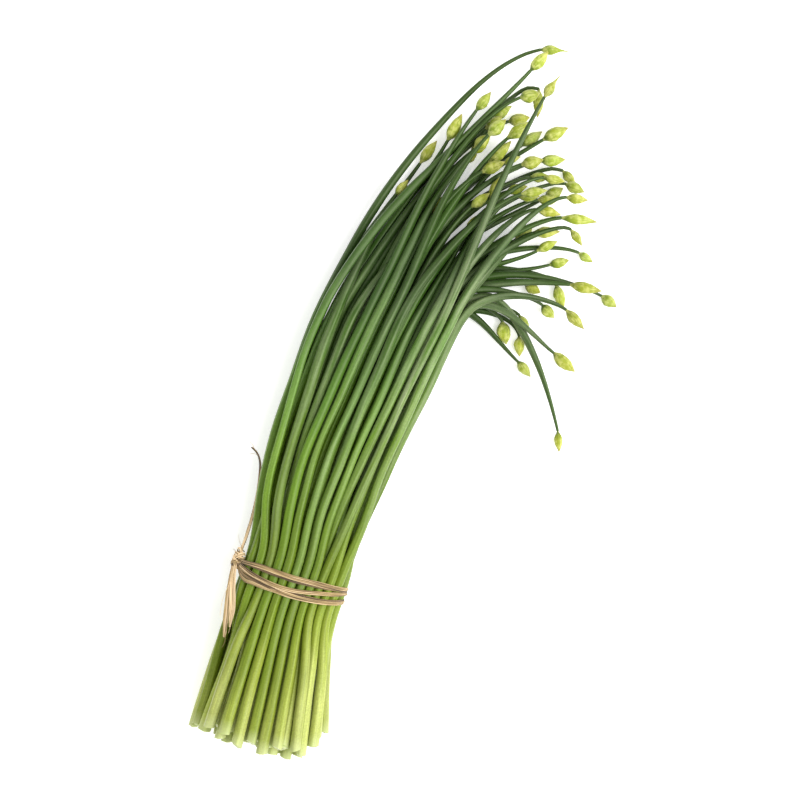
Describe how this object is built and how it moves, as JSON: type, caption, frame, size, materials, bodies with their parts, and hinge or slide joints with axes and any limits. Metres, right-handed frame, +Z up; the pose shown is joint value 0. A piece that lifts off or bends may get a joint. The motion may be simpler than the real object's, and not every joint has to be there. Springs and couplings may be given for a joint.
{
  "type": "chive bunch",
  "caption": "Bunch of fresh flowering chive stalks with closed buds, tied near its cut ends with raffia, lying on its side.",
  "frame": {"origin": "middle of the raffia tie's flat underside, where the bunch rests on the table", "axes": "+Z up; +Y along the stalks from the cut ends to the heads; +X towards the side that the heads arch over to"},
  "size_m": [0.1327, 0.3297, 0.0348],
  "materials": {
    "stalk": "waxy fresh plant skin",
    "raffia": "dry palm fibre"
  },
  "bodies": {
    "root": {"flower_stalk_01": "stalk", "flower_stalk_02": "stalk", "flower_stalk_03": "stalk", "flower_stalk_04": "stalk", "flower_stalk_05": "stalk", "flower_stalk_06": "stalk", "flower_stalk_07": "stalk", "flower_stalk_08": "stalk", "flower_stalk_09": "stalk", "flower_stalk_10": "stalk", "flower_stalk_11": "stalk", "flower_stalk_12": "stalk", "flower_stalk_13": "stalk", "flower_stalk_14": "stalk", "flower_stalk_15": "stalk", "flower_stalk_16": "stalk", "flower_stalk_17": "stalk", "flower_stalk_18": "stalk", "flower_stalk_19": "stalk", "flower_stalk_20": "stalk", "flower_stalk_21": "stalk", "flower_stalk_22": "stalk", "flower_stalk_23": "stalk", "flower_stalk_24": "stalk", "flower_stalk_25": "stalk", "flower_stalk_26": "stalk", "flower_stalk_27": "stalk", "flower_stalk_28": "stalk", "flower_stalk_29": "stalk", "flower_stalk_30": "stalk", "flower_stalk_31": "stalk", "flower_stalk_32": "stalk", "flower_stalk_33": "stalk", "flower_stalk_34": "stalk", "flower_stalk_35": "stalk", "flower_stalk_36": "stalk", "flower_stalk_37": "stalk", "flower_stalk_38": "stalk", "flower_stalk_39": "stalk", "flower_stalk_40": "stalk", "flower_stalk_41": "stalk", "flower_stalk_42": "stalk", "flower_stalk_43": "stalk", "flower_stalk_44": "stalk", "flower_stalk_45": "stalk", "flower_stalk_46": "stalk", "flower_stalk_47": "stalk", "flower_stalk_48": "stalk", "flower_stalk_49": "stalk", "flower_stalk_50": "stalk", "flower_stalk_51": "stalk", "flower_stalk_52": "stalk", "flower_stalk_53": "stalk", "flower_stalk_54": "stalk", "flower_stalk_55": "stalk", "flower_stalk_56": "stalk", "flower_stalk_57": "stalk", "flower_stalk_58": "stalk", "raffia_tie": "raffia"}
  },
  "joints": []
}
